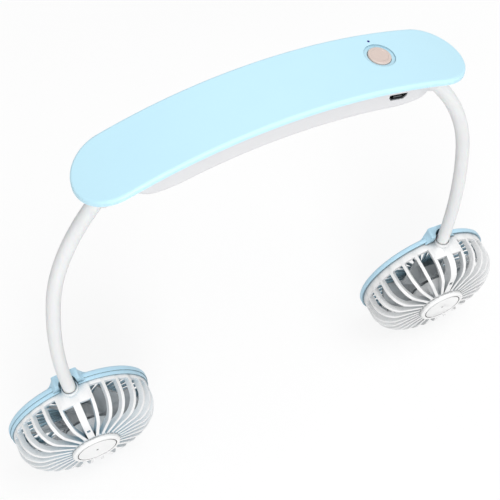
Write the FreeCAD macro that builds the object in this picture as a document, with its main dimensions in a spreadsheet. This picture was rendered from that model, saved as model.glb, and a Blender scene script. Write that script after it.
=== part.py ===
import FreeCAD, Part
import math
import os
import Sketcher

V = FreeCAD.Vector
doc = FreeCAD.newDocument("NeckFan")

# Driving dimensions: millimetres and degrees
dimensions = {
    # Neck band: an arch about a Y axis, its inner crown at the origin
    "cover_radius": 220.0,
    "cover_half_span": 81.6,
    "cover_half_width": 16.0,
    "cover_thickness": 2.2,
    "cover_edge_round": 1.2,
    "band_thickness": 13.5,
    "housing_half_span": 67.5,
    "housing_half_width": 13.6,
    "housing_wall": 1.5,
    "housing_floor": 2.2,
    "housing_edge_round": 2.0,
    "housing_end_thickness": 2.67,
    "taper_length": 24.57,
    "cavity_end_wall": 10.5,
    "seat_gap": 0.05,
    # Controls, on a tangent frame of the cover
    "control_inset": 21.76,
    "button_offset": 2.8,
    "button_radius": 4.75,
    "button_proud": 0.1,
    "button_dish_radius": 3.5,
    "button_dish_depth": 0.15,
    "button_gap": 0.2,
    "button_flange_radius": 5.8,
    "button_flange_thickness": 0.8,
    "button_travel": 0.5,
    "recess_radius": 6.5,
    "recess_depth": 0.6,
    "lamp_along": -0.4,
    "lamp_offset": 11.2,
    "lamp_radius": 0.55,
    "lamp_gap": 0.05,
    "lamp_chip_length": 1.6,
    "lamp_chip_width": 0.8,
    "lamp_chip_height": 0.7,
    "usb_along": 1.15,
    "usb_slot_width": 8.1,
    "usb_slot_height": 2.9,
    "usb_corner": 1.2,
    "usb_clearance": 0.15,
    "usb_length": 5.2,
    "usb_setback": 0.3,
    "usb_shell": 0.3,
    "usb_tongue_thickness": 0.7,
    "usb_depth": 7.1,
    "board_length": 20.0,
    "board_width": 23.6,
    "board_along": -0.8,
    "board_thickness": 1.0,
    "switch_side": 6.0,
    "switch_body_height": 3.4,
    "switch_plunger_radius": 1.75,
    "post_radius": 1.5,
    "post_along": 6.0,
    "post_offset": 6.0,
    # Battery
    "battery_end_gap": 4.5,
    "battery_width": 19.0,
    "battery_top_gap": 0.69,
    "battery_round": 1.5,
    "pad_thickness": 0.8,
    # Housing screws
    "screw_inset": 37.0,
    "screw_offset": 7.5,
    "screw_shank_radius": 0.8,
    "screw_head_radius": 1.9,
    "screw_head_height": 0.9,
    "screw_length": 6.0,
    "screw_gap": 0.05,
    "screw_recess": 0.5,
    "boss_radius": 2.2,
    # Flexible arms
    "arm_root_overhang": 4.3,
    "arm_root_offset": 2.2,
    "arm_root_depth": 16.754,
    "arm_lean": 1.6,
    "arm_exit_angle": 50.0,
    "arm_upper_radius": 120.0,
    "arm_upper_turn": 30.5,
    "arm_lower_radius": 300.0,
    "arm_lower_turn": 14.41,
    "sleeve_radius": 3.1,
    "sleeve_wall": 0.5,
    "sleeve_gap": 0.05,
    "nose_radius": 4.6,
    "nose_length": 16.0,
    "ferrule_length": 8.0,
    "ferrule_wall": 0.75,
    "ferrule_flange": 0.7,
    "ferrule_lip": 1.2,
    "anchor_length": 14.0,
    "root_pivot": 10.0,
    "pivot_spacing": 12.0,
    "link_radius": 2.3,
    "link_bore": 0.6,
    "ball_radius": 1.9,
    "ball_gap": 0.05,
    "cup_radius": 2.45,
    "cup_opening": 78.0,
    "neck_radius": 1.0,
    "neck_reach": 2.75,
    "cable_radius": 0.45,
    "cable_run": 8.5,
    # Fan heads: heights run forward from the face of the hub cap
    "collar_rake": 5.9,
    "collar_reach": 36.9,
    "collar_height": 21.4,
    "collar_radius": 4.1,
    "collar_length": 6.9,
    "collar_mouth_gap": 0.4,
    "collar_mouth_depth": 0.8,
    "collar_bore_depth": 4.0,
    "collar_hole": 2.1,
    "rim_radius": 35.2,
    "rim_wall": 2.0,
    "rim_start": 19.6,
    "rim_end": 23.4,
    "rib_count": 28.0,
    "rib_thickness": 1.6,
    "rib_depth": 2.6,
    "slot_round": 1.2,
    "slot_sink": 0.15,
    "dome_round": 11.5,
    "dome_height": 3.2,
    "wide_rib_thickness": 3.4,
    "wide_rib_depth": 5.2,
    "shoulder_start": 13.0,
    "channel_width": 1.6,
    "channel_depth": 1.4,
    "window_reach": 21.0,
    "window_length": 2.4,
    "hub_radius": 12.3,
    "hub_floor": 1.3,
    "hub_wall_end": 12.0,
    "cap_thickness": 2.3,
    "cap_chamfer": 0.6,
    "cap_groove_radius": 10.0,
    "cap_groove_width": 0.5,
    "cap_groove_depth": 0.6,
    "cap_dimple_radius": 0.6,
    "cap_dimple_depth": 1.5,
    "motor_radius": 10.0,
    "motor_length": 9.1,
    "motor_wall": 0.9,
    "motor_gap": 0.15,
    "bush_radius": 2.55,
    "bush_length": 1.9,
    "shaft_radius": 1.0,
    "shaft_gap": 0.03,
    "shaft_length": 16.5,
    "armature_radius": 8.2,
    "armature_length": 4.6,
    "motor_screw_reach": 6.5,
    "motor_screw_radius": 0.75,
    "motor_screw_head": 1.4,
    "impeller_hub_radius": 11.6,
    "impeller_hub_wall": 1.0,
    "impeller_hub_start": 13.6,
    "impeller_hub_end": 21.0,
    "impeller_boss_radius": 2.8,
    "blade_count": 7.0,
    "blade_middle": 17.2,
    "blade_root_reach": 10.9,
    "blade_tip_reach": 27.6,
    "blade_root_chord": 9.0,
    "blade_tip_chord": 15.0,
    "blade_root_pitch": 50.0,
    "blade_tip_pitch": 28.0,
    "blade_thickness": 1.1,
    "grille_radius": 36.3,
    "grille_end": 26.1,
    "grille_edge": 0.7,
    "skirt_start": 21.45,
    "skirt_wall": 0.6,
    "skirt_gap": 0.05,
    "grille_inner_radius": 32.6,
    "spoke_count": 30.0,
    "spoke_width": 1.2,
    "spoke_depth": 1.5,
    "grille_disc_radius": 9.0,
    "saddle_half_width": 6.4,
    "saddle_reach": 40.4,
    "saddle_gap": 0.3,
    "saddle_round": 1.0,
    "saddle_flare": 5.0,
    "saddle_start": 22.4,
    "saddle_rise": 2.1,
    "saddle_wave": 5.0,
}

sheet = doc.addObject("Spreadsheet::Sheet", "Dims")
for row, (name, number) in enumerate(dimensions.items(), start=1):
    sheet.set("A%d" % row, name)
    sheet.set("B%d" % row, str(number))
    sheet.setAlias("B%d" % row, name)
doc.recompute()


class Size:
    # A value together with the sheet expression that gives it
    def __init__(self, number, text):
        self.number = number
        self.text = text

    def __add__(self, other):
        other = as_size(other)
        return Size(self.number + other.number, "(%s + %s)" % (self.text, other.text))

    def __sub__(self, other):
        other = as_size(other)
        return Size(self.number - other.number, "(%s - %s)" % (self.text, other.text))

    def __mul__(self, other):
        other = as_size(other)
        return Size(self.number * other.number, "(%s * %s)" % (self.text, other.text))

    def __truediv__(self, other):
        other = as_size(other)
        return Size(self.number / other.number, "(%s / %s)" % (self.text, other.text))

    def __neg__(self):
        return Size(-self.number, "(0 - %s)" % self.text)


def as_size(value):
    if isinstance(value, Size):
        return value
    return Size(float(value), repr(float(value)))


def dim(name):
    return Size(float(sheet.get(name)), "Dims." + name)


def root(value):
    return Size(math.sqrt(value.number), "sqrt(%s)" % value.text)


def sine(value):
    return Size(math.sin(math.radians(value.number)), "sin(%s)" % value.text)


def cosine(value):
    return Size(math.cos(math.radians(value.number)), "cos(%s)" % value.text)


def num(name):
    return float(sheet.get(name))


# Document helpers: bodies, sketches and features whose sizes follow the sheet
sub_parts = []


def new_body(label, placement=None):
    body = doc.addObject("PartDesign::Body", label)
    body.Label = label
    if placement is not None:
        body.Placement = placement
    sub_parts.append(body)
    return body


def origin_plane(body, role):
    return [feature for feature in body.Origin.OriginFeatures if feature.Role == role][0]


def new_sketch(body, role, offset=None):
    sketch = body.newObject("Sketcher::SketchObject", body.Label + "_sketch")
    sketch.AttachmentSupport = [(origin_plane(body, role), "")]
    sketch.MapMode = "FlatFace"
    if offset is not None:
        sketch.AttachmentOffset = offset
    return sketch


def bind(sketch, constraint, size):
    index = sketch.addConstraint(constraint)
    sketch.setExpression("Constraints[%d]" % index, size.text)


def arc_between(start, end, radius, side):
    middle = (start + end) * 0.5
    half = (end - start) * 0.5
    left = V(-half.y, half.x, 0).normalize()
    rise = math.sqrt(max(radius * radius - half.Length ** 2, 0.0))
    centre = middle + left * rise * side
    first, last = (start, end) if side > 0 else (end, start)
    begin = math.atan2(first.y - centre.y, first.x - centre.x)
    finish = math.atan2(last.y - centre.y, last.x - centre.x)
    return Part.ArcOfCircle(Part.Circle(centre, V(0, 0, 1), radius), begin, finish)


def add_outline(sketch, corners, arcs=None):
    # Closed outline; arcs maps a corner's index to the radius and side of the arc that leaves it
    arcs = arcs or {}
    base = sketch.GeometryCount
    count = len(corners)
    corners = [(as_size(x), as_size(y)) for x, y in corners]
    points = [V(x.number, y.number, 0) for x, y in corners]
    ends = []
    for index in range(count):
        start, end = points[index], points[(index + 1) % count]
        if index in arcs:
            radius, side = arcs[index]
            sketch.addGeometry(arc_between(start, end, radius.number, side), False)
            ends.append((1, 2) if side > 0 else (2, 1))
        else:
            sketch.addGeometry(Part.LineSegment(start, end), False)
            ends.append((1, 2))
    for index in range(count):
        after = (index + 1) % count
        sketch.addConstraint(Sketcher.Constraint(
            "Coincident", base + index, ends[index][1], base + after, ends[after][0]))
    for index, (x, y) in enumerate(corners):
        corner = ends[index][0]
        bind(sketch, Sketcher.Constraint("DistanceX", -1, 1, base + index, corner, x.number), x)
        bind(sketch, Sketcher.Constraint("DistanceY", -1, 1, base + index, corner, y.number), y)
    for index, (radius, side) in arcs.items():
        bind(sketch, Sketcher.Constraint("Radius", base + index, radius.number), radius)


def add_circle(sketch, x, y, radius):
    x, y, radius = as_size(x), as_size(y), as_size(radius)
    index = sketch.addGeometry(Part.Circle(V(x.number, y.number, 0), V(0, 0, 1), radius.number), False)
    bind(sketch, Sketcher.Constraint("DistanceX", -1, 1, index, 3, x.number), x)
    bind(sketch, Sketcher.Constraint("DistanceY", -1, 1, index, 3, y.number), y)
    bind(sketch, Sketcher.Constraint("Radius", index, radius.number), radius)


def add_rectangle(sketch, x, y, width, depth):
    x, y, width, depth = as_size(x), as_size(y), as_size(width), as_size(depth)
    half, rise = width / 2, depth / 2
    add_outline(sketch, [(x - half, y - rise), (x + half, y - rise), (x + half, y + rise),
                         (x - half, y + rise)])


def pad(body, sketch, length, symmetric=False, reverse=False):
    feature = body.newObject("PartDesign::Pad", body.Label + "_pad")
    feature.Profile = sketch
    feature.setExpression("Length", as_size(length).text)
    feature.SideType = "Symmetric" if symmetric else "One side"
    feature.Reversed = reverse
    return feature


def pocket(body, sketch, length=None, symmetric=False, reverse=False):
    feature = body.newObject("PartDesign::Pocket", body.Label + "_pocket")
    feature.Profile = sketch
    if length is None:
        feature.Type = "ThroughAll"
    else:
        feature.setExpression("Length", as_size(length).text)
    feature.SideType = "Symmetric" if symmetric else "One side"
    feature.Reversed = reverse
    return feature


def revolve(body, sketch, angle=None):
    feature = body.newObject("PartDesign::Revolution", body.Label + "_revolution")
    feature.Profile = sketch
    feature.ReferenceAxis = (sketch, ["V_Axis"])
    if angle is not None:
        feature.Midplane = True
        feature.setExpression("Angle", angle.text)
    return feature


def polar_pattern(body, originals, count, angle=None):
    feature = body.newObject("PartDesign::PolarPattern", body.Label + "_pattern")
    feature.Originals = originals
    axis = [item for item in body.Origin.OriginFeatures if item.Role == "Z_Axis"][0]
    feature.Axis = (axis, [""])
    feature.Angle = 360.0
    if angle is not None:
        feature.setExpression("Angle", angle.text)
    feature.setExpression("Occurrences", count.text)
    body.Tip = feature
    return feature


def mirror_feature(body, originals):
    feature = body.newObject("PartDesign::Mirrored", body.Label + "_mirror")
    feature.Originals = originals
    feature.MirrorPlane = (origin_plane(body, "YZ_Plane"), [""])
    body.Tip = feature
    return feature


def fillet_edges(body, base, chosen, radius):
    doc.recompute()
    names = ["Edge%d" % number for number, edge in enumerate(base.Shape.Edges, start=1) if chosen(edge)]
    feature = body.newObject("PartDesign::Fillet", body.Label + "_fillet")
    feature.Base = (base, names)
    feature.setExpression("Radius", radius.text)
    return feature


def edge_points(edge):
    first, last = edge.ParameterRange
    return [edge.valueAt(first + (last - first) * step / 4.0) for step in range(5)]


def turned_body(label, placement, corners, arcs=None):
    # A body of revolution: corners are radius and height pairs
    body = new_body(label, placement)
    sketch = new_sketch(body, "XZ_Plane")
    add_outline(sketch, corners, arcs)
    revolve(body, sketch)
    return body


def block_body(label, placement, length, width, height):
    # A block standing on the XY plane of its placement
    body = new_body(label, placement)
    sketch = new_sketch(body, "XY_Plane")
    add_rectangle(sketch, 0, 0, length, width)
    pad(body, sketch, height)
    return body


def frame_at(origin, along_x, along_z):
    z = V(along_z).normalize()
    y = z.cross(along_x).normalize()
    x = y.cross(z)
    matrix = FreeCAD.Matrix(x.x, y.x, z.x, origin.x, x.y, y.y, z.y, origin.y,
                            x.z, y.z, z.z, origin.z, 0, 0, 0, 1)
    return FreeCAD.Placement(matrix)


# Band arch: shared radii
arch_centre = dim("band_thickness") - dim("cover_radius")
cover_inner = dim("cover_radius") - dim("cover_thickness")
housing_top = cover_inner - dim("seat_gap")
inner_radius = dim("cover_radius") - dim("band_thickness")


def arch_height(radius, along):
    return arch_centre + root(radius * radius - along * along)


# Tapered ends of the housing: an arc that leaves the inner face and meets the end at a set thickness
taper_x = dim("housing_half_span") - dim("taper_length")
taper_sine = taper_x / inner_radius
taper_cosine = root(as_size(1) - taper_sine * taper_sine)
taper_run = dim("taper_length")
taper_rise = (arch_height(housing_top, dim("housing_half_span")) - dim("housing_end_thickness")
              - arch_centre - inner_radius * taper_cosine)
taper_radius = ((taper_run * taper_run + taper_rise * taper_rise)
                / ((taper_run * taper_sine + taper_rise * taper_cosine) * 2))


def arch_outline(top, offset, half_span):
    # Arch with tapered ends; offset lifts the lower side off the inner face
    swing = inner_radius + taper_radius
    low = inner_radius + offset
    end = taper_radius - offset
    centre_x = swing * taper_sine
    centre_z = arch_centre + swing * taper_cosine
    reach = half_span - centre_x
    end_z = centre_z - root(end * end - reach * reach)
    top_z = arch_height(top, half_span)
    low_x = low * taper_sine
    low_z = arch_centre + low * taper_cosine
    corners = [(half_span, top_z), (-half_span, top_z), (-half_span, end_z), (-low_x, low_z),
               (low_x, low_z), (half_span, end_z)]
    arcs = {0: (top, 1), 2: (end, 1), 3: (low, -1), 4: (end, 1)}
    return corners, arcs


def round_plan_ends(body, half_span, half_width):
    # Trims both ends of the band to half circles in plan
    sketch = new_sketch(body, "XY_Plane")
    margin = half_width / 2
    for side in (1, -1):
        straight = (half_span - half_width) * side
        tip = half_span * side
        outside = (half_span + margin) * side
        wide = half_width + margin
        corners = [(straight, -half_width), (tip, 0), (straight, half_width), (straight, wide),
                   (outside, wide), (outside, -wide), (straight, -wide)]
        add_outline(sketch, corners, {0: (half_width, side), 1: (half_width, side)})
    return pocket(body, sketch, symmetric=True)


control_x = num("housing_half_span") - num("control_inset")
control_turn = FreeCAD.Rotation(V(0, 1, 0), math.degrees(math.asin(control_x / num("cover_radius"))))
control_spot = V(0, 0, arch_centre.number) + control_turn.multVec(V(0, 0, num("cover_radius")))
control_frame = FreeCAD.Placement(control_spot, control_turn)


def on_controls(along, offset, depth):
    return control_frame.multiply(FreeCAD.Placement(V(along, offset, -depth), FreeCAD.Rotation()))


# Arm plane and head frame
arm_root_x = dim("housing_half_span") + dim("arm_root_overhang")
arm_root_z = arch_height(dim("cover_radius"), arm_root_x) - dim("arm_root_depth")
arm_root = V(arm_root_x.number, num("arm_root_offset"), arm_root_z.number)
lean = math.radians(num("arm_lean"))
arm_out = V(1, 0, 0)
arm_up = V(0, -math.sin(lean), math.cos(lean))
arm_front = V(0, math.cos(lean), math.sin(lean))
exit_angle = num("arm_exit_angle")
elbow_angle = exit_angle + num("arm_upper_turn")
end_angle = elbow_angle + num("arm_lower_turn")
upper_length = num("arm_upper_radius") * math.radians(num("arm_upper_turn"))
arm_length = upper_length + num("arm_lower_radius") * math.radians(num("arm_lower_turn"))


def heading(angle):
    turn = math.radians(angle)
    return arm_out * math.cos(turn) - arm_up * math.sin(turn)


def arc_step(radius, start, end):
    first, last = math.radians(start), math.radians(end)
    across = math.sin(last) - math.sin(first)
    upward = math.cos(last) - math.cos(first)
    return (arm_out * across + arm_up * upward) * radius


def arm_angle(station):
    if station <= 0:
        return exit_angle
    if station <= upper_length:
        return exit_angle + math.degrees(station / num("arm_upper_radius"))
    if station <= arm_length:
        return elbow_angle + math.degrees((station - upper_length) / num("arm_lower_radius"))
    return end_angle


def arm_point(station):
    # Centre line: straight in the nose, two tangent arcs, straight in the collar
    if station <= 0:
        return arm_root + heading(exit_angle) * station
    elbow = arm_root + arc_step(num("arm_upper_radius"), exit_angle, elbow_angle)
    if station <= upper_length:
        return arm_root + arc_step(num("arm_upper_radius"), exit_angle, arm_angle(station))
    if station <= arm_length:
        return elbow + arc_step(num("arm_lower_radius"), elbow_angle, arm_angle(station))
    mouth = elbow + arc_step(num("arm_lower_radius"), elbow_angle, end_angle)
    return mouth + heading(end_angle) * (station - arm_length)


def arm_edges(start, end):
    stops = [start] + [stop for stop in (0.0, upper_length, arm_length) if start < stop < end] + [end]
    edges = []
    for first, last in zip(stops[:-1], stops[1:]):
        middle = (first + last) / 2
        if first >= arm_length or last <= 0:
            edges.append(Part.makeLine(arm_point(first), arm_point(last)))
        else:
            edges.append(Part.Arc(arm_point(first), arm_point(middle), arm_point(last)).toShape())
    return edges


def pipe(edges, radius):
    path = Part.Wire(edges)
    start = edges[0]
    direction = start.tangentAt(start.FirstParameter)
    profile = Part.Wire(Part.makeCircle(radius, start.valueAt(start.FirstParameter), direction))
    shape = path.makePipeShell([profile], True, False)
    filled = shape.Volume / (math.pi * radius ** 2 * path.Length)
    if abs(filled - 1) > 0.01:
        raise RuntimeError("tube volume is not its section times its length")
    return shape


def arm_pipe(start, end, radius):
    return pipe(arm_edges(start, end), radius)


mouth = arm_point(arm_length)
rake = math.radians(num("collar_rake"))
back_up_arm = heading(end_angle) * -1
head_up = back_up_arm * math.cos(rake) - arm_front * math.sin(rake)
head_front = arm_front * math.cos(rake) + back_up_arm * math.sin(rake)
hub_face = mouth - head_up * num("collar_reach") - head_front * num("collar_height")
head_frame = frame_at(hub_face, head_up.cross(head_front), head_front)


def in_head(lateral, reach, height):
    return head_frame.multVec(V(lateral, reach, height))


def on_axis(height):
    return head_frame.multiply(FreeCAD.Placement(V(0, 0, height), FreeCAD.Rotation()))


# Outer cover: blue arched strip with round ends, button recess, lamp hole and screw bosses
cover = new_body("outer_cover")
sketch = new_sketch(cover, "XZ_Plane")
span = dim("cover_half_span")
outer = dim("cover_radius")
top_z = arch_height(outer, span)
low_z = arch_height(cover_inner, span)
add_outline(sketch, [(span, top_z), (-span, top_z), (-span, low_z), (span, low_z)],
            {0: (outer, 1), 2: (cover_inner, -1)})
pad(cover, sketch, dim("cover_half_width") * 2, symmetric=True)
trimmed = round_plan_ends(cover, span, dim("cover_half_width"))


def on_outer_face(edge):
    axis_height = arch_centre.number
    return all(abs(math.hypot(p.x, p.z - axis_height) - outer.number) < 1e-4 for p in edge_points(edge))


fillet_edges(cover, trimmed, on_outer_face, dim("cover_edge_round"))

screw_x = dim("housing_half_span") - dim("screw_inset")
boss_end = arch_height(inner_radius + dim("housing_floor"), screw_x - dim("boss_radius")) + dim("seat_gap")
boss_top = arch_height(cover_inner + dim("cover_thickness") / 2, screw_x)
boss_level = FreeCAD.Placement(V(0, 0, boss_end.number), FreeCAD.Rotation())
sketch = new_sketch(cover, "XY_Plane", boss_level)
for x in (screw_x, -screw_x):
    for y in (dim("screw_offset"), -dim("screw_offset")):
        add_circle(sketch, x, y, dim("boss_radius"))
pad(cover, sketch, boss_top - boss_end)
sketch = new_sketch(cover, "XY_Plane", boss_level)
for x in (screw_x, -screw_x):
    for y in (dim("screw_offset"), -dim("screw_offset")):
        add_circle(sketch, x, y, dim("screw_shank_radius") + dim("screw_gap"))
pocket(cover, sketch, dim("screw_length"), reverse=True)

sketch = new_sketch(cover, "XY_Plane", control_frame)
add_circle(sketch, 0, dim("button_offset"), dim("recess_radius"))
pocket(cover, sketch, dim("recess_depth"))
sketch = new_sketch(cover, "XY_Plane", control_frame)
add_circle(sketch, 0, dim("button_offset"), dim("button_radius") + dim("button_gap"))
add_circle(sketch, dim("lamp_along"), dim("lamp_offset"), dim("lamp_radius") + dim("lamp_gap"))
pocket(cover, sketch, dim("cover_thickness") * 3, symmetric=True)

# Inner housing: white tub on the neck side, with a nose for each arm
housing = new_body("inner_housing")
sketch = new_sketch(housing, "XZ_Plane")
add_outline(sketch, *arch_outline(housing_top, as_size(0), dim("housing_half_span")))
pad(housing, sketch, dim("housing_half_width") * 2, symmetric=True)
trimmed = round_plan_ends(housing, dim("housing_half_span"), dim("housing_half_width"))


def on_neck_side(edge):
    # Lower outline of the tub: edges that stay clear of the top face and touch a side or an end
    top = housing_top.number
    clear = num("housing_edge_round")
    points = edge_points(edge)
    if any(math.hypot(p.x, p.z - arch_centre.number) > top - clear / 4 for p in points):
        return False
    return not all(abs(p.x - points[0].x) < 1e-4 for p in points)


fillet_edges(housing, trimmed, on_neck_side, dim("housing_edge_round"))

cavity_x = dim("housing_half_span") - dim("cavity_end_wall")
sketch = new_sketch(housing, "XZ_Plane")
add_outline(sketch, *arch_outline(dim("cover_radius"), dim("housing_floor"), cavity_x))
pocket(housing, sketch, (dim("housing_half_width") - dim("housing_wall")) * 2, symmetric=True)

nose_back = frame_at(arm_point(-num("nose_length")), arm_front, heading(exit_angle))
socket_back = frame_at(arm_point(-num("ferrule_length")), arm_front, heading(exit_angle))
cavity_back = frame_at(arm_point(-num("nose_length") - num("cable_run")), arm_front, heading(exit_angle))
anchor_back = frame_at(arm_point(-num("anchor_length")), arm_front, heading(exit_angle))
ferrule_radius = dim("sleeve_radius") + dim("sleeve_gap") + dim("ferrule_wall")
sketch = new_sketch(housing, "XY_Plane", nose_back)
add_circle(sketch, 0, 0, dim("nose_radius"))
nose = pad(housing, sketch, dim("nose_length"))
mirror_feature(housing, [nose])
holes = []
for level, radius, depth in (
        (socket_back, ferrule_radius + dim("sleeve_gap"), dim("ferrule_length") * 2),
        (anchor_back, dim("link_radius") + dim("sleeve_gap"), dim("anchor_length")),
        (cavity_back, dim("cable_radius") * 2, dim("nose_length") + dim("cable_run"))):
    sketch = new_sketch(housing, "XY_Plane", level)
    add_circle(sketch, 0, 0, radius)
    holes.append(pocket(housing, sketch, depth, reverse=True))
mirror_feature(housing, holes)

usb_wall = control_frame.multiply(FreeCAD.Placement(
    V(num("usb_along"), -num("housing_half_width") - num("housing_wall"), -num("usb_depth")),
    FreeCAD.Rotation(V(1, 0, 0), 90)))


def usb_outline(inset, up):
    # Opening with its two neck-side corners cut, inset from the slot; up is the cover's side in the sketch
    half = dim("usb_slot_width") / 2 - inset
    rise = (dim("usb_slot_height") / 2 - inset) * up
    foot = half - dim("usb_corner")
    return [(-half, rise), (-half, 0), (-foot, -rise), (foot, -rise), (half, 0), (half, rise)]


sketch = new_sketch(housing, "XY_Plane", usb_wall)
add_outline(sketch, usb_outline(as_size(0), 1))
pocket(housing, sketch, dim("housing_wall") * 3)

usb_height = dim("usb_slot_height") - dim("usb_clearance") * 2
board_top = dim("usb_depth") + usb_height / 2
board_low = board_top + dim("board_thickness")
floor_depth = dim("band_thickness") - dim("housing_floor") / 2
post_level = control_frame.multiply(FreeCAD.Placement(V(0, 0, -board_low.number), FreeCAD.Rotation()))
sketch = new_sketch(housing, "XY_Plane", post_level)
for along in (dim("board_along") - dim("post_along"), dim("board_along") + dim("post_along")):
    for offset in (dim("post_offset"), -dim("post_offset")):
        add_circle(sketch, along, offset, dim("post_radius"))
pad(housing, sketch, floor_depth - board_low, reverse=True)

head_seat = arch_height(inner_radius, screw_x) + dim("screw_recess") + dim("screw_head_height")
screw_level = FreeCAD.Placement(V(0, 0, head_seat.number), FreeCAD.Rotation())
for radius, length, upward in (
        (dim("screw_head_radius") + dim("screw_gap"), dim("band_thickness"), False),
        (dim("screw_shank_radius") + dim("screw_gap"), dim("housing_floor") * 2, True)):
    sketch = new_sketch(housing, "XY_Plane", screw_level)
    for x in (screw_x, -screw_x):
        for y in (dim("screw_offset"), -dim("screw_offset")):
            add_circle(sketch, x, y, radius)
    pocket(housing, sketch, length, reverse=upward)

# Housing screws: four alike, heads sunk in the neck side
screw_solids = []
for x in (1, -1):
    for y in (1, -1):
        head = doc.addObject("Part::Cylinder", "screw_head")
        head.setExpression("Radius", dim("screw_head_radius").text)
        head.setExpression("Height", dim("screw_head_height").text)
        head.Placement = FreeCAD.Placement(
            V(x * screw_x.number, y * num("screw_offset"), head_seat.number - num("screw_head_height")),
            FreeCAD.Rotation())
        shank = doc.addObject("Part::Cylinder", "screw_shank")
        shank.setExpression("Radius", dim("screw_shank_radius").text)
        shank.setExpression("Height", dim("screw_length").text)
        shank.Placement = FreeCAD.Placement(
            V(x * screw_x.number, y * num("screw_offset"), head_seat.number), FreeCAD.Rotation())
        screw = doc.addObject("Part::Fuse", "screw")
        screw.Base = head
        screw.Tool = shank
        screw_solids.append(screw)
screws = doc.addObject("Part::Compound", "housing_screws")
screws.Label = "housing_screws"
screws.Links = screw_solids
sub_parts.append(screws)

# Power button: a cap with a flange kept under the cover
top = dim("button_proud")
flange_top = -(dim("cover_thickness") + dim("seat_gap") * 4)
flange_low = flange_top - dim("button_flange_thickness")
turned_body("power_button", on_controls(0, num("button_offset"), 0), [
    (0, flange_low), (dim("button_flange_radius"), flange_low), (dim("button_flange_radius"), flange_top),
    (dim("button_radius"), flange_top), (dim("button_radius"), top - dim("button_gap")),
    (dim("button_radius") - dim("button_gap"), top), (dim("button_dish_radius"), top),
    (dim("button_dish_radius") - dim("button_dish_depth"), top - dim("button_dish_depth")),
    (0, top - dim("button_dish_depth"))])

# Control board with switch, socket and indicator lamp
block_body("control_board", on_controls(num("board_along"), 0, board_low.number),
           dim("board_length"), dim("board_width"), dim("board_thickness"))

switch_top = -flange_low + dim("button_travel") + dim("button_gap") / 2
switch_height = board_top - switch_top
switch = block_body("tact_switch", on_controls(0, num("button_offset"), board_top.number),
                    dim("switch_side"), dim("switch_side"), dim("switch_body_height"))
sketch = new_sketch(switch, "XY_Plane")
add_circle(sketch, 0, 0, dim("switch_plunger_radius"))
pad(switch, sketch, switch_height)

usb_width = dim("usb_slot_width") - dim("usb_clearance") * 2
usb_mouth = -num("housing_half_width") + num("usb_setback")
usb_turn = FreeCAD.Placement(V(0, 0, 0), FreeCAD.Rotation(V(1, 0, 0), -90))
usb = new_body("usb_socket", on_controls(num("usb_along"), usb_mouth, num("usb_depth")).multiply(usb_turn))
sketch = new_sketch(usb, "XY_Plane")
add_outline(sketch, usb_outline(dim("usb_clearance"), -1))
pad(usb, sketch, dim("usb_length"))
sketch = new_sketch(usb, "XY_Plane")
add_outline(sketch, usb_outline(dim("usb_clearance") + dim("usb_shell"), -1))
pocket(usb, sketch, dim("usb_length") - dim("usb_shell"), reverse=True)
sketch = new_sketch(usb, "XY_Plane")
add_rectangle(sketch, 0, 0, usb_width / 2, dim("usb_tongue_thickness"))
pad(usb, sketch, dim("usb_length"))

block_body("lamp_chip", on_controls(num("lamp_along"), num("lamp_offset"), board_top.number),
           dim("lamp_chip_length"), dim("lamp_chip_width"), dim("lamp_chip_height"))
lamp_low = board_top - dim("lamp_chip_height") - dim("seat_gap")
lamp = doc.addObject("Part::Cylinder", "lamp_pipe")
lamp.Label = "lamp_pipe"
lamp.setExpression("Radius", dim("lamp_radius").text)
lamp.setExpression("Height", lamp_low.text)
lamp.Placement = on_controls(num("lamp_along"), num("lamp_offset"), lamp_low.number)
sub_parts.append(lamp)

# Battery on a foam pad that fills the arch of the floor
floor_radius = inner_radius + dim("housing_floor") + dim("seat_gap")
battery_low = arch_centre + floor_radius + dim("pad_thickness")
battery_length = (screw_x - dim("battery_end_gap")) * 2
battery_high = arch_height(cover_inner, battery_length / 2) - dim("battery_top_gap")
battery = block_body("battery_cell", FreeCAD.Placement(V(0, 0, battery_low.number), FreeCAD.Rotation()),
                     battery_length, dim("battery_width"), battery_high - battery_low)


def along_battery(edge):
    points = edge_points(edge)
    return all(abs(p.y - points[0].y) < 1e-4 and abs(p.z - points[0].z) < 1e-4 for p in points)


doc.recompute()
fillet_edges(battery, battery.Tip, along_battery, dim("battery_round"))

foam = new_body("battery_pad")
sketch = new_sketch(foam, "XZ_Plane")
foam_x = battery_length / 2 - dim("battery_round")
foam_z = arch_height(floor_radius, foam_x)
add_outline(sketch, [(foam_x, battery_low), (-foam_x, battery_low), (-foam_x, foam_z), (foam_x, foam_z)],
            {2: (floor_radius, -1)})
pad(foam, sketch, dim("battery_width") - dim("battery_round") * 2, symmetric=True)

# Arm ferrule: sleeve end ring, set in the nose of the housing
ferrule_frame = frame_at(arm_point(-num("ferrule_length")), arm_front, heading(exit_angle))
ferrule_bore = dim("sleeve_radius") + dim("sleeve_gap")
ferrule_end = dim("ferrule_length") + dim("ferrule_lip")
lip_radius = ferrule_radius + dim("ferrule_flange")
ferrule_seat = dim("ferrule_length") + dim("seat_gap")
turned_body("right_ferrule", ferrule_frame, [
    (ferrule_bore, 0), (ferrule_radius, 0), (ferrule_radius, ferrule_seat), (lip_radius, ferrule_seat),
    (lip_radius, ferrule_end), (ferrule_bore, ferrule_end)])


# Arm core: hollow links that turn on balls, closed in by one soft sleeve
def add_shape(label, shape):
    feature = doc.addObject("Part::Feature", label)
    feature.Label = label
    feature.Shape = shape
    sub_parts.append(feature)
    return feature


pivots = {
    "root": num("root_pivot"),
    "swing": num("root_pivot") + num("pivot_spacing"),
    "turn": arm_length - num("root_pivot") - num("pivot_spacing"),
    "tilt": arm_length - num("root_pivot"),
}


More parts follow.
